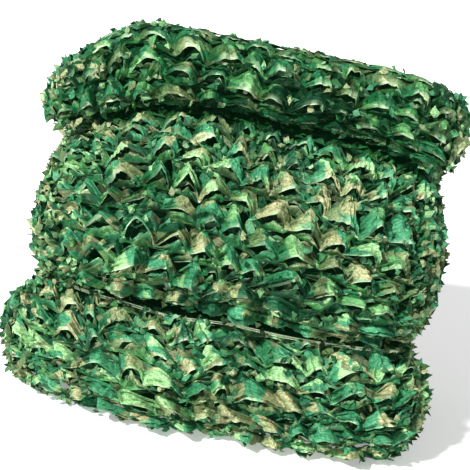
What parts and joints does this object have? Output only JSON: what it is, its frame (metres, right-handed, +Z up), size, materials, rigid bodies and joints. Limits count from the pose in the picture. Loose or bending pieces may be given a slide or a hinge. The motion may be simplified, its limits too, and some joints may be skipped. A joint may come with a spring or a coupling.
{
  "type": "folded camouflage net",
  "caption": "Leaf-cut camouflage net folded back and forth into a thick bundle that stands on a flat underside, with its edge cord showing.",
  "frame": {"origin": "middle of the underside's box, on the surface that the bundle stands on", "axes": "+Z up, +X along the fold lines to the right seen from the front, +Y to the back; the rounded noses of the front folds point to -Y"},
  "size_m": [0.7732, 0.5372, 0.6693],
  "materials": {
    "leaf_cloth": "coated synthetic cloth with a satin sheen, blotched light green, mid green, dark green, khaki and olive brown, cut into leaves",
    "edge_cord": "twisted grey-green synthetic cord"
  },
  "bodies": {
    "root": {"folded_net": "leaf_cloth", "edge_cord_crease": "edge_cord", "edge_cord_side": "edge_cord"}
  },
  "joints": []
}
